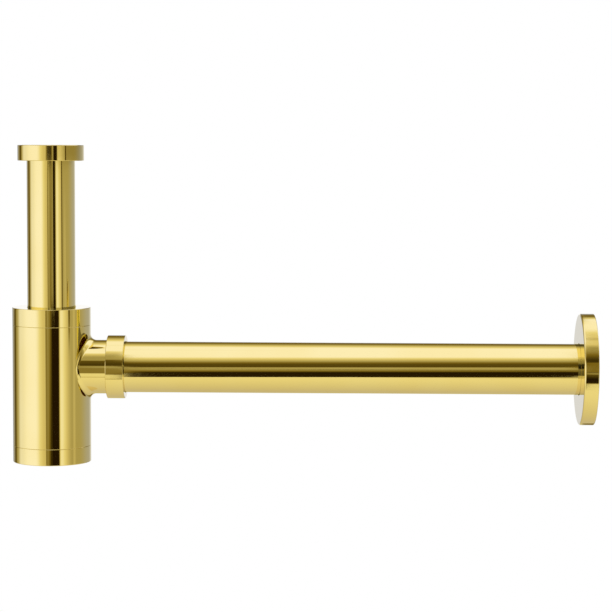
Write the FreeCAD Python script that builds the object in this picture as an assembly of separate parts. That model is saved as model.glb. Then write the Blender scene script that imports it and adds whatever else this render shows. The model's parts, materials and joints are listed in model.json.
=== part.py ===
# Round bottle trap for a wash basin, in millimetres.
# The origin is on the inlet axis, at the top of the inlet gasket. +Z is up, +X runs to the wall.
import FreeCAD, Part
import math
import os

from FreeCAD import Vector

# Clearances
running_gap = 0.3
thread_gap = 0.3
seal_gap = 0.1
throat_gap = 0.6
flange_gap = 0.4

# Roundings of the polished edges, and the lead-in of each thread
edge_round = 0.4
seam_round = 0.25
thread_lead = 0.5

# Basin union: captive nut, flat gasket and the tube's collar
inlet_tube_diameter = 32.0
inlet_tube_wall = 1.0
inlet_collar_width = 3.0
inlet_collar_thickness = 1.4
inlet_gasket_thickness = 2.0
collar_gap = 0.475
basin_thread_depth = 1.48
basin_thread_length = 5.0
basin_thread_run_in = 0.3
union_nut_wall = 1.1
union_nut_lip = 1.6

# Compression joint at the top of the bottle
tube_drop = 97.8
top_nut_plate = 3.0
top_nut_wall = 2.4
slip_ring_thickness = 1.5
slip_ring_margin = 2.2
seal_proud = 0.8
seal_tip = 0.4
seat_width = 3.8
seat_depth = 5.0
neck_wall = 3.0
neck_thread_length = 6.5

# Bottle
throat_length = 1.9
body_wall = 2.6
body_height = 80.9
branch_shoulder = 10.1
branch_neck = 11.7
branch_wall = 2.5
branch_fillet = 4.0

# Bottom cap and its sealing ring
cap_height = 10.9
cap_floor = 3.0
cap_spigot_height = 8.5
cap_spigot_wall = 2.7
cap_seal_lip = 1.2
cap_ring_section = 1.9
bowl_round = 3.0
dip_clearance = 11.4

# Outlet union and wall tube
outlet_tube_diameter = 34.0
outlet_tube_wall = 1.0
outlet_collar_width = 1.0
outlet_collar_thickness = 1.6
outlet_gasket_thickness = 1.5
outlet_thread_length = 7.1
outlet_nut_wall = 2.85
outlet_nut_lip = 1.6
wall_distance = 362.2
tube_setback = 1.0

# Wall flange
flange_diameter = 74.5
flange_depth = 9.7
flange_plate = 2.0
flange_rim = 2.0
flange_corner = 1.0

# Room for a cutting solid to pass a face
cut_margin = 1.0

# Radii, from the inlet tube outwards
inlet_radius = inlet_tube_diameter / 2
inlet_bore = inlet_radius - inlet_tube_wall
inlet_collar_radius = inlet_radius + inlet_collar_width
inlet_hole = inlet_radius + running_gap
basin_thread_crest = inlet_collar_radius + collar_gap
basin_thread_root = basin_thread_crest + basin_thread_depth
union_nut_radius = basin_thread_root + union_nut_wall
throat_radius = inlet_radius + throat_gap
seat_radius = throat_radius + seat_width
neck_radius = seat_radius + neck_wall
skirt_bore = neck_radius + thread_gap
body_radius = skirt_bore + top_nut_wall
body_bore = body_radius - body_wall
spigot_radius = body_bore - thread_gap
spigot_bore = spigot_radius - cap_spigot_wall
ring_seat_radius = body_radius - cap_seal_lip
ring_root_radius = ring_seat_radius - cap_ring_section - 2 * seal_gap

# Radii, from the outlet tube outwards
outlet_radius = outlet_tube_diameter / 2
outlet_bore = outlet_radius - outlet_tube_wall
branch_radius = outlet_radius + outlet_collar_width
branch_bore = branch_radius - branch_wall
outlet_nut_bore = branch_radius + thread_gap
outlet_nut_radius = outlet_nut_bore + outlet_nut_wall
flange_radius = flange_diameter / 2

# Heights, from the basin seat downwards
collar_top = -inlet_gasket_thickness
collar_under = collar_top - inlet_collar_thickness
union_nut_under = collar_under - union_nut_lip
union_nut_rim = basin_thread_run_in + basin_thread_length
top_nut_face = union_nut_under - tube_drop
plate_under = top_nut_face - top_nut_plate
slip_ring_under = plate_under - slip_ring_thickness
neck_rim = slip_ring_under - seal_proud
upper_seam = neck_rim - neck_thread_length
seat_low = neck_rim - seat_depth
throat_low = seat_low - throat_length
shoulder_low = throat_low - (body_bore - throat_radius)
outlet_height = upper_seam - branch_shoulder - branch_radius
lower_seam = upper_seam - body_height
ring_groove_top = lower_seam + cap_ring_section + 2 * seal_gap
spigot_top = lower_seam + cap_spigot_height
cap_under = lower_seam - cap_height
bowl_floor = cap_under + cap_floor
dip_end = bowl_floor + dip_clearance

# Stations along the outlet, from the inlet axis to the wall
outlet_nut_start = body_radius + branch_neck
branch_end = outlet_nut_start + outlet_thread_length
outlet_collar_start = branch_end + outlet_gasket_thickness
outlet_collar_end = outlet_collar_start + outlet_collar_thickness
outlet_nut_end = outlet_collar_end + outlet_nut_lip
outlet_tube_end = wall_distance - tube_setback
flange_front = wall_distance - flange_depth
flange_inside = flange_front + flange_plate


def point(corner):
    """Place a corner, given as radius, height and maybe a rounding, in the XZ plane."""
    return Vector(corner[0], 0, corner[1])


def rounding(corner):
    """Radius of a corner's rounding, or zero where the corner is sharp."""
    return corner[2] if len(corner) > 2 else 0


def outline(corners):
    """Closed wire of straight runs, with a tangent arc at each rounded corner."""
    arcs = []
    entries = []
    exits = []
    for index, corner in enumerate(corners):
        here = point(corner)
        back = (point(corners[index - 1]) - here).normalize()
        onward = (point(corners[(index + 1) % len(corners)]) - here).normalize()
        half_angle = back.getAngle(onward) / 2
        setback = rounding(corner) / math.tan(half_angle)
        entries.append(here + back * setback)
        exits.append(here + onward * setback)
        if rounding(corner):
            inward = (back + onward).normalize()
            crown = here + inward * rounding(corner) * (1 / math.sin(half_angle) - 1)
            arcs.append(Part.Arc(entries[-1], crown, exits[-1]).toShape())
    runs = [Part.makeLine(exits[index - 1], entries[index]) for index in range(len(corners))]
    return Part.Wire(Part.__sortEdges__(runs + arcs))


def turned(corners):
    """Solid of revolution about Z from its half section."""
    section = Part.Face(outline(corners))
    return section.revolve(Vector(0, 0, 0), Vector(0, 0, 1), 360)


def along_outlet(shape):
    """Lay a shape that was turned about Z on the outlet axis, with its +Z towards the wall."""
    shape.rotate(Vector(0, 0, 0), Vector(0, 1, 0), 90)
    shape.translate(Vector(0, 0, outlet_height))
    return shape


def washer(inner, outer, low, high):
    """Flat ring."""
    return turned([
        (inner, low),
        (outer, low),
        (outer, high),
        (inner, high),
    ])


def union_nut():
    """Captive nut: a lip under the tube's collar, a relief, then the basin thread's crests."""
    return turned([
        (inlet_hole, union_nut_under, edge_round),
        (union_nut_radius, union_nut_under, edge_round),
        (union_nut_radius, union_nut_rim, edge_round),
        (basin_thread_crest + thread_lead, union_nut_rim),
        (basin_thread_crest, union_nut_rim - thread_lead),
        (basin_thread_crest, basin_thread_run_in),
        (basin_thread_root, basin_thread_run_in),
        (basin_thread_root, collar_under),
        (inlet_hole, collar_under),
    ])


def inlet_gasket():
    return washer(inlet_bore, inlet_collar_radius, collar_top, 0)


def inlet_tube():
    """Inlet tube with a turned collar; its lower end dips into the water in the cap."""
    return turned([
        (inlet_bore, dip_end),
        (inlet_radius, dip_end),
        (inlet_radius, collar_under),
        (inlet_collar_radius, collar_under),
        (inlet_collar_radius, collar_top),
        (inlet_bore, collar_top),
    ])


def top_nut():
    """Compression nut, flush with the bottle, that draws the slip ring down onto the seal."""
    return turned([
        (inlet_hole, plate_under),
        (inlet_hole, top_nut_face, edge_round),
        (body_radius, top_nut_face, edge_round),
        (body_radius, upper_seam, seam_round),
        (skirt_bore, upper_seam),
        (skirt_bore, plate_under),
    ])


def top_slip_ring():
    return washer(inlet_hole, skirt_bore - slip_ring_margin, slip_ring_under, plate_under)


def top_seal():
    """Conical rubber ring: its cone follows the seat in the bottle's neck."""
    seal_slope = seat_width / seat_depth
    seal_low = seat_low + seal_tip
    cone_end = throat_radius - seal_gap + seal_slope * seal_tip
    return turned([
        (inlet_radius + seal_gap, slip_ring_under),
        (seat_radius - seal_gap, slip_ring_under),
        (seat_radius - seal_gap, neck_rim),
        (cone_end, seal_low),
        (inlet_radius + seal_gap, seal_low),
    ])


def bottle_blank():
    """Outside of the bottle with its side branch, joined by a rolled fillet along the saddle."""
    bottle = turned([
        (0, lower_seam),
        (body_radius, lower_seam, seam_round),
        (body_radius, upper_seam, seam_round),
        (neck_radius, upper_seam),
        (neck_radius, neck_rim - thread_lead),
        (neck_radius - thread_lead, neck_rim),
        (0, neck_rim),
    ])
    # The revolve's seam is turned away from the branch
    bottle.rotate(Vector(0, 0, 0), Vector(0, 0, 1), 180)
    branch = along_outlet(turned([
        (0, 0),
        (branch_radius, 0),
        (branch_radius, branch_end - thread_lead),
        (branch_radius - thread_lead, branch_end),
        (0, branch_end),
    ]))
    blank = bottle.fuse(branch)
    saddle = [edge for edge in blank.Edges if edge.Curve.TypeId == "Part::GeomBSplineCurve"]
    return blank.makeFillet(branch_fillet, saddle)


def trap_body():
    """Cast bottle: conical seat and throat at the top, ring seat at the bottom, side branch."""
    inside = turned([
        (0, lower_seam - cut_margin),
        (ring_seat_radius, lower_seam - cut_margin),
        (ring_seat_radius, ring_groove_top),
        (body_bore, ring_groove_top),
        (body_bore, shoulder_low),
        (throat_radius, throat_low),
        (throat_radius, seat_low),
        (seat_radius, neck_rim),
        (seat_radius, neck_rim + cut_margin),
        (0, neck_rim + cut_margin),
    ])
    passage = along_outlet(Part.makeCylinder(branch_bore, branch_end + cut_margin))
    return bottle_blank().cut([inside, passage])


def bottom_cap():
    """Screwed cap: a bowl for what settles, with a spigot that enters the bottle."""
    return turned([
        (0, cap_under),
        (body_radius, cap_under, edge_round),
        (body_radius, lower_seam, seam_round),
        (ring_root_radius, lower_seam),
        (ring_root_radius, ring_groove_top),
        (spigot_radius, ring_groove_top),
        (spigot_radius, spigot_top - thread_lead),
        (spigot_radius - thread_lead, spigot_top),
        (spigot_bore, spigot_top),
        (spigot_bore, bowl_floor, bowl_round),
        (0, bowl_floor),
    ])


def cap_o_ring():
    ring_radius = (ring_seat_radius + ring_root_radius) / 2
    ring_height = (lower_seam + ring_groove_top) / 2
    return Part.makeTorus(ring_radius, cap_ring_section / 2, Vector(0, 0, ring_height))


def outlet_nut():
    """Nut on the branch: its lip pulls the tube's collar against the gasket."""
    lip_bore = outlet_radius + running_gap
    return along_outlet(turned([
        (outlet_nut_bore, outlet_nut_start),
        (outlet_nut_radius, outlet_nut_start, edge_round),
        (outlet_nut_radius, outlet_nut_end, edge_round),
        (lip_bore, outlet_nut_end),
        (lip_bore, outlet_collar_end),
        (outlet_nut_bore, outlet_collar_end),
    ]))


def outlet_gasket():
    return along_outlet(washer(branch_bore, branch_radius, branch_end, outlet_collar_start))


def outlet_tube():
    """Wall tube with a turned collar at the trap's end."""
    return along_outlet(turned([
        (outlet_bore, outlet_collar_start),
        (branch_radius, outlet_collar_start),
        (branch_radius, outlet_collar_end),
        (outlet_radius, outlet_collar_end),
        (outlet_radius, outlet_tube_end),
        (outlet_bore, outlet_tube_end),
    ]))


def wall_flange():
    """Deep round rosette, hollow towards the wall, that slides on the outlet tube."""
    hole = outlet_radius + flange_gap
    return along_outlet(turned([
        (hole, flange_front),
        (flange_radius, flange_front, edge_round),
        (flange_radius, wall_distance, edge_round),
        (flange_radius - flange_rim, wall_distance),
        (flange_radius - flange_rim, flange_inside, flange_corner),
        (hole, flange_inside),
    ]))


os.makedirs("parts", exist_ok=True)
pieces = [
    union_nut,
    inlet_gasket,
    inlet_tube,
    top_nut,
    top_slip_ring,
    top_seal,
    trap_body,
    bottom_cap,
    cap_o_ring,
    outlet_nut,
    outlet_gasket,
    outlet_tube,
    wall_flange,
]
for piece in pieces:
    piece().exportStep(os.path.join("parts", piece.__name__ + ".step"))
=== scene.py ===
import json
import math
from typing import NamedTuple

import bmesh
import bpy
import numpy as np
from bpy.props import FloatProperty, FloatVectorProperty, IntProperty, PointerProperty
from mathutils import Matrix, Vector


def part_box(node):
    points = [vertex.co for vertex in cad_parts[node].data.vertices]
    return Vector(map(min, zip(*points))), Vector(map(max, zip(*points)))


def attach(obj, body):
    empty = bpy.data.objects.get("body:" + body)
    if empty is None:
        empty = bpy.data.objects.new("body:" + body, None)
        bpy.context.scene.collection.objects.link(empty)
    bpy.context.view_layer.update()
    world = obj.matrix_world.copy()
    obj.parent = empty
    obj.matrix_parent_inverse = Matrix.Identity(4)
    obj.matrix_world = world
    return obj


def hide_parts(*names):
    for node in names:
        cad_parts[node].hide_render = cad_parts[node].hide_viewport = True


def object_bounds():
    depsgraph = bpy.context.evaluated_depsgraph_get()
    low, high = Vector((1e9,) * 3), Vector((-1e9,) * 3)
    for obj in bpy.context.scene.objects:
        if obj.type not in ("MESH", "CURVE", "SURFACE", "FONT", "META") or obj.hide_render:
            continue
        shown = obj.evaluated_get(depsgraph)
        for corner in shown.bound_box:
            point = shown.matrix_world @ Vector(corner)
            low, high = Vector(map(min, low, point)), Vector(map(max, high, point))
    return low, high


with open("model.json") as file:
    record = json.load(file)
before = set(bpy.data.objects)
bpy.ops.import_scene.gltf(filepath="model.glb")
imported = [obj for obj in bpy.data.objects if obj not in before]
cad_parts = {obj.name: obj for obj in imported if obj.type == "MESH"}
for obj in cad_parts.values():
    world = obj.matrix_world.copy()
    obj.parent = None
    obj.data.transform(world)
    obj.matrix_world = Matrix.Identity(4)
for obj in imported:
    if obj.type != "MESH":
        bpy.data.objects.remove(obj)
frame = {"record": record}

bl_info = {
    "name": "Bottle trap",
    "version": (1, 0, 0),
    "blender": (4, 5, 0),
    "location": "View3D > Sidebar > Bottle trap",
    "description": "Makes the pieces of a polished gold bottle trap and its studio",
    "category": "Add Mesh",
}

cad_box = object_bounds()
LEAST_SEGMENTS = 48


def length(name, description, millimetres):
    """A distance that a user may change, with its default in millimetres."""
    return FloatProperty(name=name, description=description, default=millimetres / 1000, min=0.0, precision=5,
                         subtype="DISTANCE", unit="LENGTH")


def place(name, description, metres):
    """A height or station along an axis, which may be negative."""
    return FloatProperty(name=name, description=description, default=metres, precision=5,
                         subtype="DISTANCE", unit="LENGTH")


def colour(name, description, default):
    """A linear colour."""
    return FloatVectorProperty(name=name, description=description, default=default, min=0.0, max=1.0,
                               size=3, subtype="COLOR")


def angle(name, description, radians):
    """A turn of the camera."""
    return FloatProperty(name=name, description=description, default=radians,
                         subtype="ANGLE", unit="ROTATION")


def share(name, description, default):
    """A part of one."""
    return FloatProperty(name=name, description=description, default=default, min=0.0, max=1.0,
                         subtype="FACTOR")


def faces(name, description, default):
    """A number of faces round a piece."""
    return IntProperty(name=name, description=description, default=default, min=LEAST_SEGMENTS)


class TrapSizes(bpy.types.PropertyGroup):
    """Sizes that the outside boxes of the pieces don't show."""

    edge_round: length("Polished edge", "Rounding of the outer edges", 0.4)
    seam_round: length("Seam edge", "Rounding of the edges that meet at a seam", 0.25)
    fine_round: length("Fine edge", "Rounding of tube ends and inner corners", 0.12)
    fine_pitch: length("Fine pitch", "Pitch of the threads on the bottle", 1.5)
    fine_thread: length("Fine thread", "Depth of the threads on the bottle", 0.55)
    thread_lead: length("Thread lead-in", "Chamfer at the start of a thread", 0.5)
    basin_pitch: length("Basin pitch", "Pitch of the basin thread, 11 turns to the inch", 2.309)
    basin_thread: length("Basin thread", "Depth of the basin thread", 1.4)
    basin_crest: length("Basin thread crest", "Inner radius of the basin thread", 19.475)
    basin_relief: length("Union nut relief", "Radius of the room round the tube's collar", 20.955)
    basin_run_in: length("Basin thread start", "Height of the thread's first turn above the seat", 0.3)
    union_lip: length("Union nut lip", "Thickness of the lip under the tube's collar", 1.6)
    inlet_hole: length("Hole for the inlet tube", "Radius of the holes that the inlet tube passes", 16.3)
    inlet_radius: length("Inlet tube radius", "Outside of the inlet tube", 16.0)
    inlet_bore: length("Inlet tube bore", "Inside of the inlet tube and its gasket", 15.0)
    inlet_collar: length("Inlet collar", "Thickness of the inlet tube's collar", 1.4)
    nut_plate: length("Top nut plate", "Thickness of the top nut's plate", 3.0)
    skirt_bore: length("Top nut bore", "Inside of the top nut's skirt", 23.7)
    seal_bore: length("Seal bore", "Inside of the conical seal", 16.1)
    seal_proud: length("Seal band", "Straight band of the seal above the neck", 0.8)
    seal_tip: length("Seal tip", "Outside radius of the seal's lower end", 16.804)
    neck_radius: length("Neck radius", "Outside of the bottle's threaded neck", 23.4)
    seat_radius: length("Seat radius", "Wide end of the conical seat", 20.4)
    seat_depth: length("Seat depth", "Height of the conical seat", 5.0)
    throat_radius: length("Throat radius", "Narrow end of the conical seat", 16.6)
    throat_length: length("Throat length", "Straight run under the seat", 1.9)
    body_bore: length("Bottle bore", "Inside of the bottle", 23.5)
    ring_seat: length("Ring seat", "Radius of the seat for the cap's ring", 24.9)
    ring_root: length("Ring root", "Radius of the cap under its ring", 22.8)
    ring_room: length("Ring room", "Height of the room for the cap's ring", 2.1)
    branch_bore: length("Branch bore", "Inside of the side branch and its gasket", 15.5)
    branch_fillet: length("Branch fillet", "Rolled fillet between bottle and branch", 4.0)
    spigot_radius: length("Spigot radius", "Outside of the cap's threaded spigot", 23.2)
    spigot_bore: length("Spigot bore", "Inside of the cap's bowl", 20.5)
    cap_floor: length("Cap floor", "Thickness of the cap's floor", 3.0)
    bowl_round: length("Bowl corner", "Rounding inside the cap's bowl", 3.0)
    nut_bore: length("Outlet nut bore", "Inside of the outlet nut's thread", 18.3)
    nut_lip: length("Outlet nut lip", "Thickness of the outlet nut's lip", 1.6)
    lip_bore: length("Outlet nut lip bore", "Radius of the lip's hole", 17.3)
    outlet_radius: length("Outlet tube radius", "Outside of the outlet tube", 17.0)
    outlet_bore: length("Outlet tube bore", "Inside of the outlet tube", 16.0)
    outlet_collar: length("Outlet collar", "Thickness of the outlet tube's collar", 1.6)
    flange_hole: length("Flange hole", "Radius of the flange's hole", 17.4)
    flange_wall: length("Flange wall", "Thickness of the flange's plate and rim", 2.0)
    flange_corner: length("Flange corner", "Rounding of the flange's inner corner", 1.0)
    flange_front: length("Flange front edge", "Rounding of the flange's edge towards the room", 1.2)
    flange_back: length("Flange wall edge", "Rounding of the flange's edge at the wall", 0.6)
    metal_segments: faces("Metal segments", "Faces round a polished piece", 224)
    seal_segments: faces("Seal segments", "Faces round a seal", 128)


class TrapFinishes(bpy.types.PropertyGroup):
    """Colours and gloss of the three finishes."""

    gold: colour("Gold", "Polished gold plating", (0.95, 0.77, 0.33))
    gold_deep: colour("Deep gold", "Where the plating is a little thicker", (0.94, 0.75, 0.30))
    raw_brass: colour("Raw brass", "Inner walls that aren't polished", (0.62, 0.46, 0.19))
    gold_gloss: share("Gold roughness", "Roughness of the polished plating", 0.022)
    bore_gloss: share("Bore roughness", "Roughness of the inner walls", 0.34)
    rubber: colour("Rubber", "Black moulded rubber", (0.022, 0.022, 0.023))
    rubber_bloom: colour("Rubber bloom", "Pale bloom on the rubber", (0.06, 0.06, 0.062))
    plastic: colour("Plastic", "White moulded plastic", (0.80, 0.80, 0.77))
    plastic_shade: colour("Plastic shade", "Faint flow marks in the plastic", (0.70, 0.70, 0.66))


class TrapStudio(bpy.types.PropertyGroup):
    """Camera, floor and light."""

    camera_x: place("Camera X", "Camera's place along the outlet", 0.1979)
    camera_y: place("Camera Y", "Camera's distance in front of the trap", -1.4465)
    camera_z: place("Camera Z", "Camera's height above the basin seat", 0.0117)
    camera_yaw: angle("Yaw", "Turn to the left", 0.0191)
    camera_pitch: angle("Pitch", "Tilt down", 0.0779)
    camera_roll: angle("Roll", "Turn about the view", 0.0038)
    camera_lens: FloatProperty(name="Lens", description="Focal length in millimetres", default=127.85,
                               min=1.0, subtype="DISTANCE_CAMERA", unit="CAMERA")
    floor_height: place("Floor height", "Height of the pale floor", -0.36)
    floor_front: place("Floor front", "Front edge of the floor", -0.31)
    floor_short: place("Floor front left", "Front edge of the floor's left end", -0.255)
    floor_bend_left: place("Floor bend left", "Where the front edge begins to slant", 0.02)
    floor_bend_right: place("Floor bend right", "Where the front edge stops slanting", 0.2)
    floor_back: place("Floor back", "Back edge of the floor", 0.22)
    floor_left: place("Floor left", "Left edge of the floor", -0.45)
    floor_right: place("Floor right", "Right edge of the floor", 0.80)
    floor_colour: colour("Floor", "Pale floor", (0.90, 0.90, 0.89))
    floor_shine: colour("Floor in the metal", "What the metal shows of the floor's front", (0.87, 0.85, 0.60))
    floor_shade: colour("Floor shade", "What the metal shows of the floor's back", (0.60, 0.57, 0.48))
    ambient: share("Ambient", "Level of the room's soft light", 0.72)
    lamp_power: FloatProperty(name="Lamp", description="Power of the overhead soft box in watts", default=6.0,
                              min=0.0, subtype="POWER", unit="POWER")


class Wire:
    """One output socket of a node tree. Arithmetic on it adds Math nodes."""

    def __init__(self, tree, socket=None):
        self.tree = tree
        self.socket = socket

    def node(self, kind, settings=None, sockets=None, output=0):
        """Add a node: its kind, its settings, then the values or links of its sockets."""
        made = self.tree.nodes.new(kind if "Node" in kind else f"ShaderNode{kind}")
        for name, value in (settings or {}).items():
            if name == "stops":
                fill_ramp(made.color_ramp, value)
            else:
                setattr(made, name, value)
        for key, value in (sockets or {}).items():
            target = pick(made.inputs, key)
            if isinstance(value, Wire):
                self.tree.links.new(value.socket, target)
            else:
                target.default_value = value
        return Wire(self.tree, pick(made.outputs, output) if made.outputs else None)

    def sibling(self, name):
        """Another output of the same node."""
        return Wire(self.tree, self.socket.node.outputs[name])

    def math(self, operation, *others):
        return self.node("Math", {"operation": operation}, dict(enumerate((self, *others))))

    def clamped(self):
        return self.node("Clamp", None, {"Value": self})

    def between(self, low, high):
        """Zero at low and one at high, with soft ends."""
        return self.node("MapRange", {"interpolation_type": "SMOOTHSTEP"},
                         {"Value": self, "From Min": low, "From Max": high})

    def tint(self, low, high):
        """Mix two colours by this value."""
        return self.node("Mix", {"data_type": "RGBA"}, {"Factor": self, "A": low, "B": high})

    def __add__(self, other):
        return self.math("ADD", other)

    __radd__ = __add__

    def __sub__(self, other):
        return self.math("SUBTRACT", other)

    def __rsub__(self, other):
        return self.node("Math", {"operation": "SUBTRACT"}, {0: other, 1: self})

    def __mul__(self, other):
        return self.math("MULTIPLY", other)

    __rmul__ = __mul__

    def __truediv__(self, other):
        return self.math("DIVIDE", other)

    def __rtruediv__(self, other):
        return self.node("Math", {"operation": "DIVIDE"}, {0: other, 1: self})


def pick(sockets, key):
    """A socket in use, by its name or by its place among those in use."""
    shown = [socket for socket in sockets if socket.enabled]
    return shown[key] if isinstance(key, int) else next(socket for socket in shown if socket.name == key)


def fill_ramp(ramp, stops):
    """Fill a colour ramp from (position, colour) pairs in rising order."""
    while len(ramp.elements) < len(stops):
        ramp.elements.new(0.5)
    for element, (position, shade) in zip(ramp.elements, stops):
        element.position = position
        element.color = opaque(shade)


def opaque(shade):
    """A colour with full alpha; one number gives a grey."""
    channels = (shade, shade, shade) if isinstance(shade, (int, float)) else tuple(shade)
    return (*channels, 1.0)


# Rounded corners: the widest step of their arcs and the fewest steps
ARC_STEP = math.radians(15)
LEAST_ARC_STEPS = 3
# Threads: rows to each pitch, the part of a pitch in which they fade in and out, and the form of the groove
THREAD_ROWS = 10
THREAD_FADE = 0.4
GROOVE_FLANK, GROOVE_CREST = 1.6, 0.3
# Points closer than this are one point, and edges sharper than this stay sharp
MERGE_DISTANCE = 1e-6
SHARP_EDGE = math.radians(38)
# Keeps whole numbers on the right side when they are rounded down
ROUNDING_GUARD = 0.5 / 4096


class Corner(NamedTuple):
    """Corner of a half section; the thread is on the run that follows, below zero where it cuts inwards."""

    radius: float
    height: float
    round: float
    thread: float = 0.0


def section(corners, pitch, closed=True):
    """Walk a half section with the metal on the left; a corner that says nothing else has the fine rounding.

    Each row holds radius, height, the normal's two parts, depth of thread and a mark for edges. A rounded
    corner becomes an arc with its exact normals. A threaded run has no normals of its own."""
    soft = bpy.context.scene.trap_sizes.fine_round
    corners = [Corner(*corner) if len(corner) > 2 else Corner(*corner, soft) for corner in corners]
    spots = [Vector(corner[:2]) for corner in corners]
    runs = [spots[(index + 1) % len(spots)] - spot for index, spot in enumerate(spots)]
    rows = []
    for index, corner in enumerate(corners):
        onward = runs[index].normalized()
        back = runs[index - 1].normalized()
        if not closed and index == 0:
            back = onward
        if not closed and index == len(corners) - 1:
            onward = back
        turn = math.atan2(back.cross(onward), back.dot(onward))
        side = math.copysign(1.0, turn)
        setback = corner.round * math.tan(abs(turn) / 2)
        normal = Vector((back.y, -back.x))
        centre = spots[index] - back * setback - normal * side * corner.round
        steps = max(LEAST_ARC_STEPS, math.ceil(abs(turn) / ARC_STEP)) if corner.round else 0
        for step in range(steps + 1):
            spin = turn * step / max(steps, 1)
            here = Matrix.Rotation(spin, 2) @ normal
            spot = centre + here * side * corner.round
            rows.append((spot.x, spot.y, here.x, here.y, 0.0, 1.0 if corner.round else 0.0))
        if corner.thread:
            following = corners[(index + 1) % len(corners)]
            reach = runs[index].length - setback
            after = runs[(index + 1) % len(corners)].normalized()
            reach -= following.round * math.tan(onward.angle(after) / 2)
            start = Vector(rows[-1][:2])
            count = math.ceil(reach / pitch * THREAD_ROWS)
            for step in range(1, count):
                gone = reach * step / count
                fade = min(1.0, gone / (THREAD_FADE * pitch), (reach - gone) / (THREAD_FADE * pitch))
                spot = start + onward * gone
                rows.append((spot.x, spot.y, 0.0, 0.0, corner.thread * fade, 0.0))
    if closed:
        rows.append(rows[0])
    return np.array(rows)


def groove(phase):
    """Depth of a thread's groove, from 0 at the crest to 1 at the root, by turns along the helix."""
    return np.clip(GROOVE_FLANK * np.abs(2 * (phase % 1.0) - 1) - GROOVE_CREST, 0, 1)


def add_field(mesh, name, kind, values):
    """Store one value per point on a mesh."""
    field = mesh.attributes.new(name, kind, "POINT")
    field.data.foreach_set("vector" if kind == "FLOAT_VECTOR" else "value", np.asarray(values, "f").ravel())


def lathe_tree():
    """Geometry nodes that turn a half section about Z, with a right-handed thread where it has one."""
    name = "Turned piece"
    if name in bpy.data.node_groups:
        return bpy.data.node_groups[name]
    tree = bpy.data.node_groups.new(name, "GeometryNodeTree")
    for label, kind in (("Section", "NodeSocketGeometry"), ("Segments", "NodeSocketInt"),
                        ("Pitch", "NodeSocketFloat"), ("Finish", "NodeSocketMaterial")):
        tree.interface.new_socket(label, in_out="INPUT", socket_type=kind)
    tree.interface.new_socket("Piece", in_out="OUTPUT", socket_type="NodeSocketGeometry")

    profile = Wire(tree).node("NodeGroupInput", output="Section")
    segments = profile.sibling("Segments")
    rows = profile.node("GeometryNodeAttributeDomainSize", {"component": "MESH"}, {"Geometry": profile},
                        "Point Count")
    columns = segments + 1
    sheet = profile.node("GeometryNodeMeshGrid", None, {"Vertices X": rows, "Vertices Y": columns}, "Mesh")

    index = profile.node("GeometryNodeInputIndex")
    row = (index / columns + ROUNDING_GUARD).math("FLOOR")
    turn = (index - row * columns) / segments

    def read(field, kind):
        source = (profile.node("GeometryNodeInputPosition") if field is None else
                  profile.node("GeometryNodeInputNamedAttribute", {"data_type": kind}, {"Name": field}))
        return profile.node("GeometryNodeSampleIndex", {"data_type": kind, "domain": "POINT"},
                            {"Geometry": profile, "Value": source, "Index": row})

    def turned(radius, height):
        bearing = turn * math.tau
        return profile.node("CombineXYZ", None, {
            "X": radius * bearing.math("COSINE"), "Y": radius * bearing.math("SINE"), "Z": height})

    spot = profile.node("SeparateXYZ", None, {"Vector": read(None, "FLOAT_VECTOR")})
    height = spot.sibling("Z")
    wave = ((height / profile.sibling("Pitch") - turn).math("FRACT") * 2 - 1).math("ABSOLUTE")
    cut = (wave * GROOVE_FLANK - GROOVE_CREST).clamped() * read("thread", "FLOAT")
    lean = profile.node("SeparateXYZ", None, {"Vector": read("lean", "FLOAT_VECTOR")})

    shape = profile.node("GeometryNodeSetPosition", None, {
        "Geometry": sheet, "Position": turned(spot + cut, height)})
    for field, kind, value in (("lean", "FLOAT_VECTOR", turned(lean, lean.sibling("Z"))),
                               ("bore", "FLOAT", (0 - lean).clamped()),
                               ("edge", "FLOAT", read("edge", "FLOAT")),
                               ("along", "FLOAT", height)):
        shape = shape.node("GeometryNodeStoreNamedAttribute", {"data_type": kind, "domain": "POINT"},
                           {"Geometry": shape, "Name": field, "Value": value})
    shape = shape.node("GeometryNodeMergeByDistance", None, {"Geometry": shape, "Distance": MERGE_DISTANCE})
    shape = shape.node("GeometryNodeRealizeInstances", None, {"Geometry": shape})
    shape = shape.node("GeometryNodeSetMaterial", None, {
        "Geometry": shape, "Material": profile.sibling("Finish")})
    shape.node("NodeGroupOutput", None, {"Piece": shape})
    return tree


def read_leans(mesh):
    """The exact normals stored on a mesh, one row for each point."""
    normals = np.zeros(len(mesh.vertices) * 3, "f")
    mesh.attributes["lean"].data.foreach_get("vector", normals)
    return normals.reshape(-1, 3)


def finish_surface(mesh):
    """Turn the faces of a closed mesh outwards and give its points their exact normals."""
    shape = bmesh.new()
    shape.from_mesh(mesh)
    bmesh.ops.remove_doubles(shape, verts=shape.verts, dist=MERGE_DISTANCE)
    gaps = sum(len(edge.link_faces) != 2 for edge in shape.edges)
    if gaps:
        raise RuntimeError(f"{mesh.name} isn't closed: {gaps} open edges")
    bmesh.ops.recalc_face_normals(shape, faces=shape.faces)
    shape.to_mesh(mesh)
    shape.free()
    mesh.shade_smooth()
    mesh.set_sharp_from_angle(angle=SHARP_EDGE)
    mesh.normals_split_custom_set_from_vertices(read_leans(mesh).tolist())
    mesh.attributes.remove(mesh.attributes["lean"])


def slot_of(node):
    """The material slot that the record gives a node."""
    return next(part["material_slot"] for part in frame["record"]["subparts"] if part["node"] == node)


def stand_for(piece, node):
    """Let a finished piece take the ride and the place of its CAD node."""
    bodies = frame["record"]["behaviour"]["bodies"]
    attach(piece, next(body for body, nodes in bodies.items() if node in nodes))
    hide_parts(node)


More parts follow.
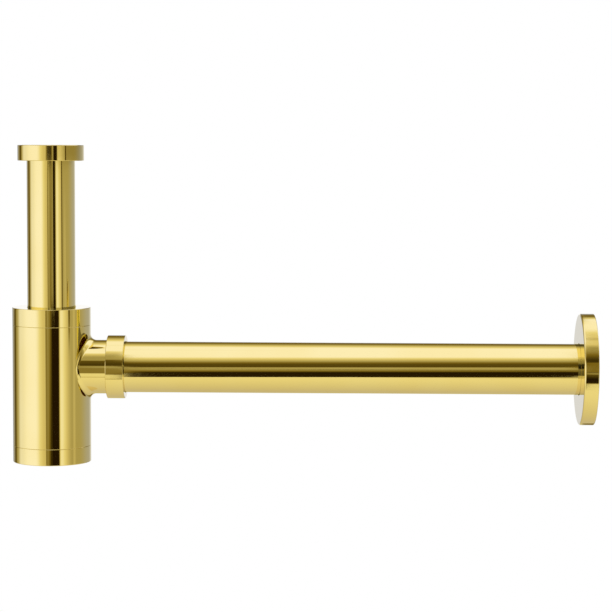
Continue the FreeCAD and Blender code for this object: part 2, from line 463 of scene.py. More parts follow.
def finish_for(node):
    """The finish of a node, made when it is first asked for."""
    makers = {"polished_gold": gold_polish, "black_rubber": moulded_rubber, "white_plastic": moulded_plastic}
    make = makers[slot_of(node)]
    return bpy.data.materials.get(make.__name__) or make(bpy.context.scene.trap_finishes)


def turn_piece(node, suffix, corners, pitch=None, closed=True, on_outlet=False):
    """Turn a half section into the piece that stands for a CAD node."""
    sizes = bpy.context.scene.trap_sizes
    pitch = pitch or sizes.fine_pitch
    radius, height, outward, upward, thread, edge = section(corners, pitch, closed).T
    flat = np.zeros(len(radius))
    profile = bpy.data.meshes.new(f"{node}_section")
    chain = [(at, at + 1) for at in range(len(radius) - 1)]
    profile.from_pydata(np.column_stack([radius, flat, height]).tolist(), chain, [])
    add_field(profile, "lean", "FLOAT_VECTOR", np.column_stack([outward, flat, upward]))
    add_field(profile, "thread", "FLOAT", thread)
    add_field(profile, "edge", "FLOAT", edge)

    piece = bpy.data.objects.new(f"{node}_{suffix}", profile)
    bpy.context.collection.objects.link(piece)
    lathe = piece.modifiers.new("Lathe", "NODES")
    lathe.node_group = lathe_tree()
    entries = {item.name: item.identifier for item in lathe.node_group.interface.items_tree
               if item.in_out == "INPUT"}
    lathe[entries["Segments"]] = sizes.metal_segments if suffix == "polished" else sizes.seal_segments
    lathe[entries["Pitch"]] = pitch
    lathe[entries["Finish"]] = finish_for(node)
    turned = bpy.data.meshes.new_from_object(piece.evaluated_get(bpy.context.evaluated_depsgraph_get()))
    piece.modifiers.remove(lathe)
    piece.data = turned
    bpy.data.meshes.remove(profile)
    turned.name = piece.name
    if on_outlet:
        lay_on_outlet(turned)
    finish_surface(turned)
    stand_for(piece, node)


def lay_on_outlet(mesh):
    """Lay a mesh that was turned about Z on the outlet axis, with its +Z towards the wall."""
    turn = Matrix.Rotation(math.pi / 2, 4, "Y")
    mesh.transform(Matrix.Translation((0, 0, outlet_height())) @ turn)
    normals = read_leans(mesh) @ np.array(turn.to_3x3()).T
    mesh.attributes["lean"].data.foreach_set("vector", normals.astype("f").ravel())


def outlet_height():
    """Height of the outlet axis."""
    low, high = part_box("outlet_tube")
    return (low.z + high.z) / 2


def upright(node):
    """Outside radius, lowest and highest point of a node on the inlet axis."""
    low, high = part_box(node)
    return high.y, low.z, high.z


def lying(node):
    """Outside radius, first and last station of a node on the outlet axis."""
    low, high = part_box(node)
    return high.y, low.x, high.x


class TRAP_OT_basin_union(bpy.types.Operator):
    """Make the captive union nut, its gasket and the inlet tube"""

    bl_idname = "trap.basin_union"
    bl_label = "Basin union"

    def execute(self, context):
        sizes = context.scene.trap_sizes
        fine = sizes.fine_round
        radius, low, high = upright("union_nut")
        shelf = low + sizes.union_lip
        turn_piece("union_nut", "polished", [
            (sizes.inlet_hole, low),
            (radius, low, sizes.edge_round),
            (radius, high, sizes.edge_round),
            (sizes.basin_crest + sizes.thread_lead, high),
            (sizes.basin_crest, high - sizes.thread_lead, fine, sizes.basin_thread),
            (sizes.basin_crest, sizes.basin_run_in),
            (sizes.basin_relief, sizes.basin_run_in),
            (sizes.basin_relief, shelf),
            (sizes.inlet_hole, shelf),
        ], pitch=sizes.basin_pitch)

        turn_piece("inlet_gasket", "moulded", washer(sizes.inlet_bore, *upright("inlet_gasket"), fine))

        radius, low, high = upright("inlet_tube")
        shelf = high - sizes.inlet_collar
        turn_piece("inlet_tube", "polished", [
            (sizes.inlet_bore, low),
            (sizes.inlet_radius, low),
            (sizes.inlet_radius, shelf),
            (radius, shelf),
            (radius, high),
            (sizes.inlet_bore, high),
        ])
        return {"FINISHED"}


# Rounding of the cap's ring, as a part of half its height
NEARLY_ROUND = 0.999


def washer(inner, outer, low, high, soft):
    """Half section of a ring with four equal corners."""
    return [(*spot, soft) for spot in ((inner, low), (outer, low), (outer, high), (inner, high))]


class TRAP_OT_compression_joint(bpy.types.Operator):
    """Make the top nut, its slip ring and the conical seal"""

    bl_idname = "trap.compression_joint"
    bl_label = "Compression joint"

    def execute(self, context):
        sizes = context.scene.trap_sizes
        fine = sizes.fine_round
        radius, low, high = upright("top_nut")
        under = high - sizes.nut_plate
        turn_piece("top_nut", "polished", [
            (sizes.skirt_bore, low),
            (radius, low, sizes.seam_round),
            (radius, high, sizes.edge_round),
            (sizes.inlet_hole, high),
            (sizes.inlet_hole, under),
            (sizes.skirt_bore, under, fine, sizes.fine_thread),
        ])

        turn_piece("top_slip_ring", "moulded", washer(sizes.inlet_hole, *upright("top_slip_ring"), fine))

        radius, low, high = upright("top_seal")
        turn_piece("top_seal", "moulded", [
            (sizes.seal_bore, low),
            (sizes.seal_tip, low),
            (radius, high - sizes.seal_proud),
            (radius, high),
            (sizes.seal_bore, high),
        ])
        return {"FINISHED"}


# Grid of the bottle's walls: columns across and up, where its corners lie round the branch, rings outwards
# and how they crowd near the branch, rows of the fillet and the neck, and rows of the passage
WALL_ACROSS, WALL_UP = 176, 56
WALL_CORNER = math.radians(38)
OUTER_RINGS, INNER_RINGS, RING_CROWDING = 52, 24, 1.25
FILLET_ROWS, NECK_ROWS = 19, 5
PASSAGE_ROWS = np.array([0, 0.5, 0.96, 1])[:, None]
# Depth of the bottle's lower thread against the others, and where the branch's bore counts as such
LOWER_THREAD = 0.6
BORE_SLACK, BORE_START = 1.01, 0.7


class Shell:
    """Grids of points with their normals, gathered into one mesh."""

    def __init__(self):
        self.points, self.normals, self.along, self.edges, self.faces = [], [], [], [], []
        self.count = 0

    def grid(self, points, normals, along, edge=0.0, closed=False):
        """Add rows of points; a closed grid joins its last column to its first."""
        rows, columns = points.shape[:2]
        index = self.count + np.arange(rows * columns).reshape(rows, columns)
        if closed:
            index = np.column_stack([index, index[:, 0]])
        quads = np.stack([index[:-1, :-1], index[1:, :-1], index[1:, 1:], index[:-1, 1:]], axis=-1)
        self.faces.append(quads.reshape(-1, 4))
        self.points.append(points.reshape(-1, 3))
        self.normals.append(np.broadcast_to(normals, points.shape).reshape(-1, 3))
        self.along.append(np.broadcast_to(along, points.shape[:2]).ravel())
        self.edges.append(np.broadcast_to(edge, points.shape[:2]).ravel())
        self.count += rows * columns

    def mesh(self, name, inward):
        """One mesh of all grids; the bore mark is set where a normal looks at the piece's own axis."""
        mesh = bpy.data.meshes.new(name)
        points = np.concatenate(self.points)
        normals = np.concatenate(self.normals)
        mesh.from_pydata(points.tolist(), [], np.concatenate(self.faces).tolist())
        add_field(mesh, "lean", "FLOAT_VECTOR", normals)
        add_field(mesh, "bore", "FLOAT", inward(points, normals))
        add_field(mesh, "edge", "FLOAT", np.concatenate(self.edges))
        add_field(mesh, "along", "FLOAT", np.concatenate(self.along))
        return mesh


def on_cylinder(radius, bearing, height):
    """Points on an upright cylinder."""
    return np.stack([radius * np.cos(bearing), radius * np.sin(bearing), height + 0 * bearing], axis=-1)


def wall_grid(radius, hole_bearing, hole_height, rim_bearing, rim_height, rings, facing):
    """Grid on an upright cylinder that spreads from a hole's edge to the rim of the unrolled wall."""
    spread = (np.linspace(0, 1, rings + 1) ** RING_CROWDING)[:, None]
    bearing = hole_bearing + spread * (rim_bearing - hole_bearing)
    height = hole_height + spread * (rim_height - hole_height)
    return on_cylinder(radius, bearing, height), on_cylinder(facing, bearing, 0), height


def strip_grid(rows, bearing, pitch):
    """Grid of a half section turned through the given bearings."""
    radius, height, outward, upward, thread, edge = rows.T[..., None]
    reach = radius + thread * groove(height / pitch - bearing / math.tau)
    normals = on_cylinder(outward, bearing + 0 * outward, upward)
    return on_cylinder(reach, bearing + 0 * reach, height), normals, height, edge


class TRAP_OT_bottle(bpy.types.Operator):
    """Make the bottle with its side branch, joined by a rolled fillet along the saddle"""

    bl_idname = "trap.bottle"
    bl_label = "Bottle"

    def execute(self, context):
        sizes = context.scene.trap_sizes
        fine, pitch = sizes.fine_round, sizes.fine_pitch
        low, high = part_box("trap_body")
        outside = high.y
        seam_low, rim = low.z, high.z
        seam_high = upright("top_nut")[1]
        branch = lying("outlet_gasket")[0]
        branch_end = high.x
        thread_start = lying("outlet_nut")[1]
        level = outlet_height()
        seat_low = rim - sizes.seat_depth
        throat_low = seat_low - sizes.throat_length
        shoulder_low = throat_low - (sizes.body_bore - sizes.throat_radius)
        step = seam_low + sizes.ring_room
        margin = 2 * sizes.edge_round

        # Perimeter of the unrolled wall, right side first, and the matching bearings round the branch
        rise = np.linspace(0, 1, WALL_UP, endpoint=False)
        spread = np.linspace(0, 1, WALL_ACROSS, endpoint=False)
        side, top = 2 * WALL_CORNER * rise, (math.pi - 2 * WALL_CORNER) * spread
        rim_bearing = np.concatenate([0 * rise + math.pi, math.pi - math.tau * spread,
                                      0 * rise - math.pi, math.tau * spread - math.pi])
        rim_share = np.concatenate([rise, 0 * spread + 1, 1 - rise, 0 * spread])
        turn = np.concatenate([side - WALL_CORNER, top + WALL_CORNER,
                               math.pi - WALL_CORNER + side, math.pi + WALL_CORNER + top])
        ring = math.pi - math.tau * np.linspace(0, 1, WALL_ACROSS + 1)

        # Ball of the rolled fillet, and where it touches the bottle and the branch
        fillet = sizes.branch_fillet
        ball = np.stack([np.sqrt((outside + fillet) ** 2 - ((branch + fillet) * np.cos(turn)) ** 2),
                         (branch + fillet) * np.cos(turn), (branch + fillet) * np.sin(turn)], axis=-1)
        on_bottle = ball * [outside / (outside + fillet), outside / (outside + fillet), 1]
        on_branch = ball * [1, branch / (branch + fillet), branch / (branch + fillet)]
        axis_shift = np.array([0, 0, level])

        shell = Shell()
        wall_low, wall_high = seam_low + margin, seam_high - margin
        shell.grid(*wall_grid(outside, np.arctan2(on_bottle[:, 1], on_bottle[:, 0]), on_bottle[:, 2] + level,
                              rim_bearing, wall_low + rim_share * (wall_high - wall_low), OUTER_RINGS, 1),
                   closed=True)

        first, last = (on_bottle - ball) / fillet, (on_branch - ball) / fillet
        swing = np.arccos(np.clip((first * last).sum(axis=1), -1, 1))[:, None]
        steps = np.linspace(0, 1, FILLET_ROWS)[:, None, None]
        arc = (np.sin((1 - steps) * swing) * first + np.sin(steps * swing) * last) / np.sin(swing)
        shell.grid(ball + fillet * arc + axis_shift, -arc, ball[:, 0], closed=True)

        round_branch = np.stack([0 * turn, np.cos(turn), np.sin(turn)], axis=-1)
        neck = on_branch[:, 0] + np.linspace(0, 1, NECK_ROWS)[:, None] * (thread_start - on_branch[:, 0])
        shell.grid(neck[..., None] * [1, 0, 0] + branch * round_branch + axis_shift,
                   round_branch, neck, closed=True)

        mouth = section([
            (branch, thread_start, 0, -sizes.fine_thread),
            (branch, branch_end - sizes.thread_lead),
            (branch - sizes.thread_lead, branch_end),
            (sizes.branch_bore, branch_end),
            (sizes.branch_bore, thread_start, 0),
        ], pitch, closed=False)
        radius, along, outward, onward, thread, edge = mouth.T[..., None]
        reach = radius + thread * groove(along / pitch - turn / math.tau)
        shell.grid(along[..., None] * [1, 0, 0] + reach[..., None] * round_branch + axis_shift,
                   outward[..., None] * round_branch + onward[..., None] * [1, 0, 0],
                   along, edge, closed=True)

        inlet = np.sqrt(sizes.body_bore ** 2 - (sizes.branch_bore * np.cos(turn)) ** 2)
        passage = thread_start + PASSAGE_ROWS * (inlet - thread_start)
        shell.grid(passage[..., None] * [1, 0, 0] + sizes.branch_bore * round_branch + axis_shift,
                   np.where(PASSAGE_ROWS < 1, -1, 0)[..., None] * round_branch, passage, closed=True)

        inner_low, inner_high = step + margin, shoulder_low - margin
        points, normals, along = wall_grid(
            sizes.body_bore, np.arctan2(sizes.branch_bore * np.cos(turn), inlet),
            level + sizes.branch_bore * np.sin(turn), rim_bearing,
            inner_low + rim_share * (inner_high - inner_low), INNER_RINGS, -1)
        normals[0] = 0
        shell.grid(points, normals, along, closed=True)

        shell.grid(*strip_grid(section([
            (outside, wall_high, 0),
            (outside, seam_high, sizes.seam_round),
            (sizes.neck_radius, seam_high, fine, -sizes.fine_thread),
            (sizes.neck_radius, rim - sizes.thread_lead),
            (sizes.neck_radius - sizes.thread_lead, rim),
            (sizes.seat_radius, rim),
            (sizes.throat_radius, seat_low),
            (sizes.throat_radius, throat_low),
            (sizes.body_bore, shoulder_low),
            (sizes.body_bore, inner_high, 0),
        ], pitch, closed=False), ring, pitch))
        shell.grid(*strip_grid(section([
            (sizes.body_bore, inner_low, 0, LOWER_THREAD * sizes.fine_thread),
            (sizes.body_bore, step),
            (sizes.ring_seat, step),
            (sizes.ring_seat, seam_low),
            (outside, seam_low, sizes.seam_round),
            (outside, wall_low, 0),
        ], pitch, closed=False), ring, pitch))

        def inward(points, normals):
            """Mark walls that look at the bottle's axis or, in the branch, at the outlet axis."""
            from_axis = points * [1, 1, 0]
            from_outlet = (points - axis_shift) * [0, 1, 1]
            in_bore = np.linalg.norm(from_outlet, axis=1) < BORE_SLACK * sizes.branch_bore
            in_bore &= points[:, 0] > BORE_START * sizes.branch_bore
            core = np.where((in_bore | (points[:, 0] > outside))[:, None], from_outlet, from_axis)
            return np.clip(-(core * normals).sum(axis=1) / np.linalg.norm(core, axis=1), 0, 1)

        mesh = shell.mesh("trap_body_polished", inward)
        mesh.materials.append(finish_for("trap_body"))
        finish_surface(mesh)
        piece = bpy.data.objects.new(mesh.name, mesh)
        context.collection.objects.link(piece)
        stand_for(piece, "trap_body")
        return {"FINISHED"}


class TRAP_OT_bottom_cap(bpy.types.Operator):
    """Make the screwed bottom cap and its sealing ring"""

    bl_idname = "trap.bottom_cap"
    bl_label = "Bottom cap"

    def execute(self, context):
        sizes = context.scene.trap_sizes
        fine = sizes.fine_round
        radius, low, high = upright("bottom_cap")
        seam = upright("trap_body")[1]
        root_top = seam + sizes.ring_room
        floor = low + sizes.cap_floor
        turn_piece("bottom_cap", "polished", [
            (0, low, 0),
            (radius, low, sizes.edge_round),
            (radius, seam, sizes.seam_round),
            (sizes.ring_root, seam),
            (sizes.ring_root, root_top),
            (sizes.spigot_radius, root_top, fine, -sizes.fine_thread),
            (sizes.spigot_radius, high - sizes.thread_lead),
            (sizes.spigot_radius - sizes.thread_lead, high),
            (sizes.spigot_bore, high),
            (sizes.spigot_bore, floor, sizes.bowl_round),
            (0, floor, 0),
        ], closed=False)

        radius, low, high = upright("cap_o_ring")
        half = (high - low) / 2
        turn_piece("cap_o_ring", "moulded", washer(radius - 2 * half, radius, low, high, NEARLY_ROUND * half))
        return {"FINISHED"}


class TRAP_OT_outlet_union(bpy.types.Operator):
    """Make the outlet nut, its gasket and the wall tube"""

    bl_idname = "trap.outlet_union"
    bl_label = "Outlet union"

    def execute(self, context):
        sizes = context.scene.trap_sizes
        fine = sizes.fine_round
        radius, low, high = lying("outlet_nut")
        shelf = high - sizes.nut_lip
        turn_piece("outlet_nut", "polished", [
            (sizes.nut_bore, low),
            (radius, low, sizes.edge_round),
            (radius, high, sizes.edge_round),
            (sizes.lip_bore, high),
            (sizes.lip_bore, shelf),
            (sizes.nut_bore, shelf, fine, sizes.fine_thread),
        ], on_outlet=True)

        turn_piece("outlet_gasket", "moulded", washer(sizes.branch_bore, *lying("outlet_gasket"), fine),
                   on_outlet=True)

        radius, low, high = lying("outlet_tube")
        shelf = low + sizes.outlet_collar
        turn_piece("outlet_tube", "polished", [
            (sizes.outlet_bore, low),
            (radius, low),
            (radius, shelf),
            (sizes.outlet_radius, shelf),
            (sizes.outlet_radius, high),
            (sizes.outlet_bore, high),
        ], on_outlet=True)
        return {"FINISHED"}


class TRAP_OT_wall_flange(bpy.types.Operator):
    """Make the deep round flange that slides on the wall tube"""

    bl_idname = "trap.wall_flange"
    bl_label = "Wall flange"

    def execute(self, context):
        sizes = context.scene.trap_sizes
        radius, low, high = lying("wall_flange")
        inside = low + sizes.flange_wall
        rim = radius - sizes.flange_wall
        turn_piece("wall_flange", "polished", [
            (sizes.flange_hole, low),
            (radius, low, sizes.flange_front),
            (radius, high, sizes.flange_back),
            (rim, high),
            (rim, inside, sizes.flange_corner),
            (sizes.flange_hole, inside),
        ], on_outlet=True)
        return {"FINISHED"}


def new_finish(name):
    """An empty material, the start of its wires and the place on the piece."""
    material = bpy.data.materials.new(name)
    material.use_nodes = True
    material.node_tree.nodes.clear()
    start = Wire(material.node_tree)
    return material, start, start.node("TexCoord", output="Object")


def close_finish(start, constants, varying, bump, height):
    """Add the shader: constants on its own sockets, then what varies over the surface."""
    relief = start.node("Bump", None, {**bump, "Height": height})
    shader = start.node("BsdfPrincipled", None, {**constants, **varying, "Normal": relief})
    start.node("OutputMaterial", None, {"Surface": shader})


def noise(spot, scale, detail=2.0, distortion=0.0):
    """Noise over a piece's own surface; the scale is in patches to the metre."""
    return spot.node("TexNoise", None, {
        "Vector": spot, "Scale": scale, "Detail": detail, "Distortion": distortion})


# What haze, turning lines and worn edges add to the plating's roughness
HAZE_BLUR, LINE_BLUR, EDGE_BLUR = 0.008, 0.004, 0.015
# Scale of the turning lines, their relief on inner walls, and the relief of the haze
LINE_SCALE, BORE_LINES, HAZE_RELIEF = 9000.0, 12, 0.5


def gold_polish(finishes):
    """Mirror polished plating: faint drift of colour, a breath of haze, turning lines, plain inner walls."""
    material, start, spot = new_finish("gold_polish")
    drift = noise(spot, 22.0).between(0.35, 0.65)
    haze = noise(spot, 260.0, detail=4.0).between(0.3, 0.7)
    bore, edge, along = (start.node("Attribute", {"attribute_name": name}, output="Fac")
                         for name in ("bore", "edge", "along"))
    bore = bore.between(0.2, 0.8)
    lines = start.node("TexNoise", {"noise_dimensions": "1D"}, {
        "W": along * LINE_SCALE, "Detail": 2.0})
    plating = drift.tint(opaque(finishes.gold), opaque(finishes.gold_deep))
    base = bore.tint(plating, opaque(finishes.raw_brass))
    polish = finishes.gold_gloss + haze * HAZE_BLUR + lines * LINE_BLUR + edge * EDGE_BLUR
    close_finish(start, {"Metallic": 1.0},
                 {"Base Color": base, "Roughness": polish + bore * finishes.bore_gloss},
                 {"Strength": 0.008, "Distance": 0.00002},
                 lines + haze * HAZE_RELIEF + bore * lines * BORE_LINES)
    return material


def moulded_rubber(finishes):
    """Black rubber: a pale bloom in patches, and the dull grain of its mould."""
    material, start, spot = new_finish("moulded_rubber")
    bloom = noise(spot, 140.0, detail=5.0).between(0.45, 0.75)
    grain = noise(spot, 3200.0, detail=3.0)
    close_finish(start, {"Specular IOR Level": 0.35},
                 {"Base Color": bloom.tint(opaque(finishes.rubber), opaque(finishes.rubber_bloom)),
                  "Roughness": 0.5 + bloom * 0.2 + grain * 0.1},
                 {"Strength": 0.35, "Distance": 0.00003}, grain)
    return material


def moulded_plastic(finishes):
    """White plastic: faint flow marks and a fine matt grain."""
    material, start, spot = new_finish("moulded_plastic")
    flow = noise(spot, 90.0, detail=3.0, distortion=1.5)
    grain = noise(spot, 2600.0)
    marks = flow.between(0.4, 0.75)
    close_finish(start, {},
                 {"Base Color": marks.tint(opaque(finishes.plastic), opaque(finishes.plastic_shade)),
                  "Roughness": 0.38 + flow * 0.1 + grain * 0.08},
                 {"Strength": 0.25, "Distance": 0.00002}, grain)
    return material


class Screen(NamedTuple):
    """Soft box, wall or dark flag that the polished metal shows.

    Its angles in degrees say where it comes in and where it ends, each as a soft step. Starts and stops do so
    in the other direction, where it doesn't reach all the way. A sloping screen is lower on the left."""

    name: str
    level: float
    comes_in: tuple
    ends: tuple
    starts: tuple = ()
    stops: tuple = ()
    sloping: bool = False


# Where the table and the front flag end on the left and on the right
LEFT_END = (-6.0, -5.8)
RIGHT_END = (6.14, 6.2)
# Heights at which the reflections of the bottle and of the inlet tube end
BOTTLE_TOP = (-4.52, -4.4)
INLET_TOP = (-0.74, -0.68)
# Round the horizon, by bearing from the side of the camera towards the wall flange, and then by height
ROUND_SCREENS = (
    Screen("rear flag", 0.25, (-181, -180), (180, 181), starts=(7, 11)),
    Screen("left back wall", 0.72, (-180.5, -179.5), (-171, -166), stops=(-1, 0)),
    Screen("left rear wall", 0.36, (-171, -166), (-108, -92)),
    Screen("left edge", 0.10, (-136, -126), (-120, -110), starts=BOTTLE_TOP),
    Screen("lower left edge", 0.10, (-142, -130), (-126, -118), stops=BOTTLE_TOP),
    Screen("right wall", 0.43, (20, 26), (142, 190)),
    Screen("front left wall", 0.64, (-70, -60), (-14, -5)),
    Screen("rim of the left soft box", 0.90, (-120, -92), (-60, -50)),
    Screen("left soft box", 1.0, (-95, -70), (-44, -8)),
    Screen("right soft box", 0.92, (25, 34), (36, 70)),
    Screen("upper right soft box", 0.66, (25, 34), (46, 60), starts=INLET_TOP),
    Screen("shaded end of the soft box", 0.44, (38, 56), (57.5, 60), starts=INLET_TOP, stops=(1.5, 2)),
    Screen("right stand", 0.05, (55.5, 59.5), (60.5, 65), starts=(-6, -4.5)),
    Screen("upper right wall", 0.30, (61, 66), (118, 150), starts=INLET_TOP),
    Screen("right strip light", 0.56, (70, 75), (77, 83), stops=(-3, -1)),
    Screen("front flag", 0.012, (-12, -6), (25, 32)),
    Screen("upper front flag", 0.09, (-10, -4), (26, 33), starts=(9, 12), sloping=True),
    Screen("room at the camera", 0.30, (-11, -6), (10, 14), starts=(-15, -3), stops=(6, 11), sloping=True),
    Screen("lit room at the camera", 0.45, (-9, -4), (6, 10), starts=(-2, 1), stops=(7, 11), sloping=True),
    Screen("low front flag", 0.01, (3, 9), (26, 31), stops=BOTTLE_TOP),
    Screen("left part of the room", 0.26, (-12, -10), LEFT_END, starts=(-24, -22), stops=(-2, 0)),
    Screen("camera rail", 0.005, (-8, -4), (9, 11), starts=INLET_TOP, stops=(-0.1, 0.1)),
    Screen("front strip light", 0.40, (11, 13.5), (15, 17.5), starts=BOTTLE_TOP, stops=(4, 9)),
    Screen("camera stand", 0.012, (16, 17.5), (28, 30), starts=INLET_TOP, stops=(1.5, 2)),
    Screen("right part of the room", 0.20, RIGHT_END, (8, 9), starts=(-0.1, 0.1), stops=(19, 20.5)),
)
# Over the top, by height from the side of the camera over the zenith to the back, and then sideways
OVER_SCREENS = (
    Screen("floor beyond the table", 0.60, (-186, -150), (-38, -35)),
    Screen("lower front flag", 0.015, (-38, -35), (-9, -4)),
    Screen("left part of the table", 0.85, (-40, -37), (-24, -21), stops=LEFT_END),
    Screen("left part of the room", 0.26, (-24, -21), (-12, -8), stops=LEFT_END),
    Screen("upper front flag", 0.10, (-9, -4), (60, 70)),
    Screen("left upper wall", 0.40, (28, 34), (58, 64), stops=LEFT_END),
    Screen("overhead soft box", 1.0, (21, 60), (108, 148), starts=LEFT_END),
    Screen("left overhead soft box", 1.0, (44, 70), (120, 150), stops=LEFT_END),
    Screen("right upper flag", 0.03, (-9, -4), (95, 110), starts=RIGHT_END),
    Screen("right upper wall", 0.36, (22, 50), (95, 110), starts=RIGHT_END),
    Screen("right overhead wall", 0.76, (50, 60), (95, 110), starts=RIGHT_END),
    Screen("right overhead seam", 0.60, (67, 70), (73, 76), starts=RIGHT_END),
    Screen("right overhead soft box", 1.0, (78, 100), (140, 170), starts=RIGHT_END),
    Screen("right part of the room", 0.22, (-10, -8.5), (19, 20.5), starts=RIGHT_END),
    Screen("right part of the table", 0.85, (-40, -37), (-25, -21.5), starts=RIGHT_END),
    Screen("right floor flag", 0.22, (-170, -160), (-140, -132), starts=RIGHT_END),
    Screen("upper rear flag", 0.17, (105, 150), (172, 190), stops=RIGHT_END),
    Screen("right upper rear flag", 0.17, (130, 150), (172, 190), starts=RIGHT_END),
)
# How much the screens slope that the wall tube shows, and where they face it
TUBE_SLOPE = 0.92
TUBE_FRONT = (0.0, 0.3)
WHITE_BACKDROP = 1.0
# Heights at which the screens round the horizon give way to those over the top
HORIZON_BAND = (13, 26)
# Bearings at which the light turns cooler and warmer again
COOL_LEFT = (55, 90)
WARM_LEFT = (98, 114)
COOL_REAR = (126, 150)
COOL_RIGHT = (92, 138)
COOL_TONE = (1.0, 1.05, 1.2)
# Depths of reflection at which the second, the third and the later ones begin
SECOND, THIRD, LATER = 1.5, 2.5, 3.5
# How fast the second falls off, the tones of all three, and where the third comes out of the dark
SECOND_FALL = 1.5
SECOND_TONE = (0.95, 0.92, 0.5)
THIRD_TONE = (0.74, 0.92, 0.4)
DEEP_TONE = (0.03, 0.008, 0.002)
DARK_REAR = (-118, -84)
# Tones of the screens by their level
STUDIO_TONES = (
    (0.0, (0.006, 0.001, 0.0)), (0.216, (0.216, 0.165, 0.027)), (0.37, (0.37, 0.34, 0.17)),
    (0.71, (0.71, 0.66, 0.39)), (0.86, (0.86, 0.85, 0.59)), (1.0, (1.04, 1.1, 1.35)),
)


def hang(screens, first, other, slope):
    """Set screens over each other in front of the backdrop, and return the level that a ray finds."""
    level = WHITE_BACKDROP
    sloped = other - slope
    for screen in screens:
        reach = sloped if screen.sloping else other
        mask = first.between(*screen.comes_in) * (1 - first.between(*screen.ends))
        if screen.starts:
            mask = mask * reach.between(*screen.starts)
        if screen.stops:
            mask = mask * (1 - reach.between(*screen.stops))
        level = mask.node("Mix", {"data_type": "FLOAT", "label": screen.name},
                          {"Factor": mask, "A": level, "B": screen.level})
    return level


def studio_world(settings):
    """White to the camera, soft boxes and dark flags to the polished metal, an even room to the rest."""
    world = bpy.data.worlds.new("Soft studio")
    world.use_nodes = True
    world.node_tree.nodes.clear()
    start = Wire(world.node_tree)
    ray = start.node("TexCoord", output="Generated")
    side = start.node("SeparateXYZ", None, {"Vector": ray})
    towards = 0 - side.sibling("Y")
    rise = side.sibling("Z")
    bearing = side.math("ARCTAN2", towards) * math.degrees(1)
    over = rise.math("ARCTAN2", towards) * math.degrees(1)
    height = rise.math("ARCSINE") * math.degrees(1)
    sideways = side.math("ARCSINE") * math.degrees(1)
    away = height.math("ABSOLUTE").between(*HORIZON_BAND)
    tube = sideways.between(*LEFT_END) * (1 - sideways.between(*RIGHT_END)) * towards.between(*TUBE_FRONT)
    slope = sideways * tube * TUBE_SLOPE
    level = away.node("Mix", {"data_type": "FLOAT"}, {
        "Factor": away, "A": hang(ROUND_SCREENS, bearing, height, slope),
        "B": hang(OVER_SCREENS, over - slope, sideways, 0)})
    studio = start.node("ValToRGB", {"stops": STUDIO_TONES}, {"Fac": level})
    black = opaque(0.0)
    left = 0 - bearing
    cool = left.between(*COOL_LEFT) - left.between(*WARM_LEFT) + (
        left.between(*COOL_REAR) + bearing.between(*COOL_RIGHT)) * (1 - away)
    studio = cool.tint(studio, level.tint(black, opaque(COOL_TONE)))
    path = start.node("LightPath", output="Is Camera Ray")
    bounces = path.sibling("Glossy Depth")
    deep = opaque(DEEP_TONE)
    second = level.math("POWER", SECOND_FALL).tint(black, opaque(SECOND_TONE))
    third = (level * over.between(*DARK_REAR)).tint(deep, opaque(THIRD_TONE))
    for depth, shown in ((SECOND, second), (THIRD, third), (LATER, deep)):
        studio = bounces.math("GREATER_THAN", depth).tint(studio, shown)
    seen = path.math("MAXIMUM", path.sibling("Is Transmission Ray"))
    room = path.sibling("Is Glossy Ray").tint(opaque(settings.ambient), studio)
    sky = start.node("Background", None, {"Color": seen.tint(room, opaque(1.0)), "Strength": 1.0})
    start.node("OutputWorld", None, {"Surface": sky})
    return world


# How far the floor fades into the backdrop at its edges, and how much of its own shade the camera sees
FLOOR_FADE = 0.16
FLOOR_SHADOW = 0.3
# How bright its specks are, and where its shine turns to shade from front to back
FLOOR_SPECK = 0.985
SHINE_SPAN = (-0.25, 0.2)


def floor_finish(settings):
    """Pale floor: white to the camera apart from shadows, pale in the metal, plain to the rest."""
    material, start, spot = new_finish("pale_floor")
    speck = noise(spot, 60.0).between(0.3, 0.7)
    path = start.node("LightPath", output="Is Camera Ray")
    glossy = path.sibling("Is Glossy Ray")
    seen = path.math("MAXIMUM", path.sibling("Is Transmission Ray"))
    darker = opaque(FLOOR_SPECK * channel for channel in settings.floor_colour)
    pale = speck.tint(opaque(settings.floor_colour), darker)
    matt = start.node("BsdfDiffuse", None, {"Color": pale})
    across = start.node("SeparateXYZ", None, {"Vector": spot})
    deep = across.sibling("Y")
    inside = 1
    for way, first, last in ((across, settings.floor_left, settings.floor_right),
                             (deep, settings.floor_short, settings.floor_back)):
        inside = inside * way.between(first, first + FLOOR_FADE) * (1 - way.between(last - FLOOR_FADE, last))
    shine = deep.between(*SHINE_SPAN).tint(opaque(settings.floor_shine), opaque(settings.floor_shade))
    shine = path.sibling("Glossy Depth").math("GREATER_THAN", THIRD).tint(shine, opaque(DEEP_TONE))
    glow = start.node("Emission", None, {"Color": glossy.tint(opaque(1.0), shine)})
    bright = seen * (1 - FLOOR_SHADOW * inside) + glossy
    mixed = start.node("MixShader", None, {0: bright, 1: matt, 2: glow})
    start.node("OutputMaterial", None, {"Surface": mixed})
    return material


# Overhead soft box: its width and depth, its place in front of the trap and its height above it
LAMP_SIZE = (1.0, 0.8)
LAMP_FRONT, LAMP_RISE = -0.15, 0.7
# Width of the camera's sensor in millimetres
SENSOR_WIDTH = 36


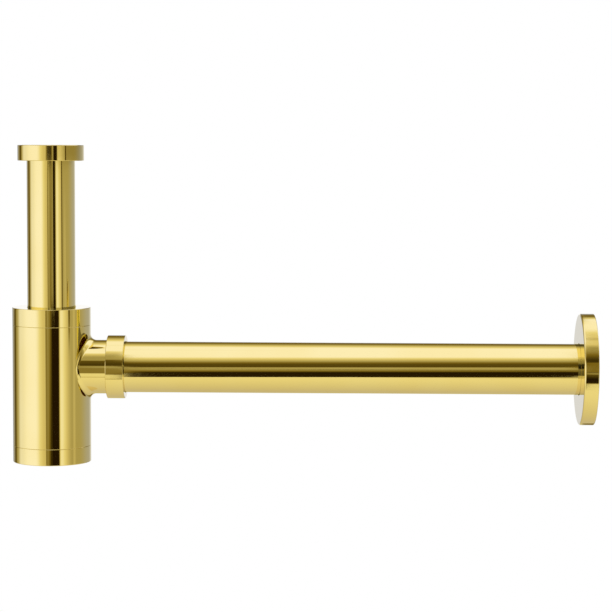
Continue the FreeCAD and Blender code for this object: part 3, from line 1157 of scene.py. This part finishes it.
class TRAP_OT_studio(bpy.types.Operator):
    """Set the floor, the soft light, the white surroundings and the camera"""

    bl_idname = "trap.studio"
    bl_label = "Studio"

    def execute(self, context):
        scene = context.scene
        settings = scene.trap_studio
        outline = (
            (settings.floor_left, settings.floor_short),
            (settings.floor_bend_left, settings.floor_short),
            (settings.floor_bend_right, settings.floor_front),
            (settings.floor_right, settings.floor_front),
            (settings.floor_right, settings.floor_back),
            (settings.floor_left, settings.floor_back),
        )
        mesh = bpy.data.meshes.new("floor")
        mesh.from_pydata([(x, y, settings.floor_height) for x, y in outline], [], [range(len(outline))])
        mesh.materials.append(floor_finish(settings))
        floor = bpy.data.objects.new("floor", mesh)
        context.collection.objects.link(floor)

        soft_box = bpy.data.lights.new("soft_box", "AREA")
        soft_box.shape = "RECTANGLE"
        soft_box.size, soft_box.size_y = LAMP_SIZE
        soft_box.energy = settings.lamp_power
        lamp = bpy.data.objects.new("soft_box", soft_box)
        low, high = cad_box
        lamp.location = ((low.x + high.x) / 2, LAMP_FRONT, high.z + LAMP_RISE)
        lamp.visible_glossy = lamp.visible_camera = False
        context.collection.objects.link(lamp)

        scene.world = studio_world(settings)
        scene.view_settings.view_transform = "Standard"

        lens = bpy.data.cameras.new("camera")
        lens.lens = settings.camera_lens
        lens.sensor_width = SENSOR_WIDTH
        camera = bpy.data.objects.new("camera", lens)
        camera.matrix_world = (Matrix.Translation((settings.camera_x, settings.camera_y, settings.camera_z))
                               @ Matrix.Rotation(settings.camera_yaw, 4, "Z")
                               @ Matrix.Rotation(math.pi / 2 - settings.camera_pitch, 4, "X")
                               @ Matrix.Rotation(settings.camera_roll, 4, "Z"))
        context.collection.objects.link(camera)
        scene.camera = camera
        return {"FINISHED"}


class TRAP_PT_sidebar(bpy.types.Panel):
    """Lists the pieces, sizes, finishes and the studio"""

    bl_idname = "TRAP_PT_sidebar"
    bl_label = "Bottle trap"
    bl_space_type = "VIEW_3D"
    bl_region_type = "UI"
    bl_category = "Bottle trap"

    def draw(self, context):
        for step in STEPS:
            self.layout.operator(step.bl_idname)
        for group in (context.scene.trap_sizes, context.scene.trap_finishes, context.scene.trap_studio):
            box = self.layout.box()
            for name in group.__annotations__:
                box.prop(group, name)


STEPS = (
    TRAP_OT_basin_union,
    TRAP_OT_compression_joint,
    TRAP_OT_bottle,
    TRAP_OT_bottom_cap,
    TRAP_OT_outlet_union,
    TRAP_OT_wall_flange,
    TRAP_OT_studio,
)
GROUPS = {"trap_sizes": TrapSizes, "trap_finishes": TrapFinishes, "trap_studio": TrapStudio}


def register():
    for item in (*GROUPS.values(), *STEPS, TRAP_PT_sidebar):
        bpy.utils.register_class(item)
    for name, group in GROUPS.items():
        setattr(bpy.types.Scene, name, PointerProperty(type=group))


def unregister():
    for name in GROUPS:
        delattr(bpy.types.Scene, name)
    for item in (TRAP_PT_sidebar, *reversed(STEPS), *GROUPS.values()):
        bpy.utils.unregister_class(item)


def main():
    register()
    for step in STEPS:
        family, name = step.bl_idname.split(".")
        getattr(getattr(bpy.ops, family), name)()


if __name__ == "__main__":
    main()
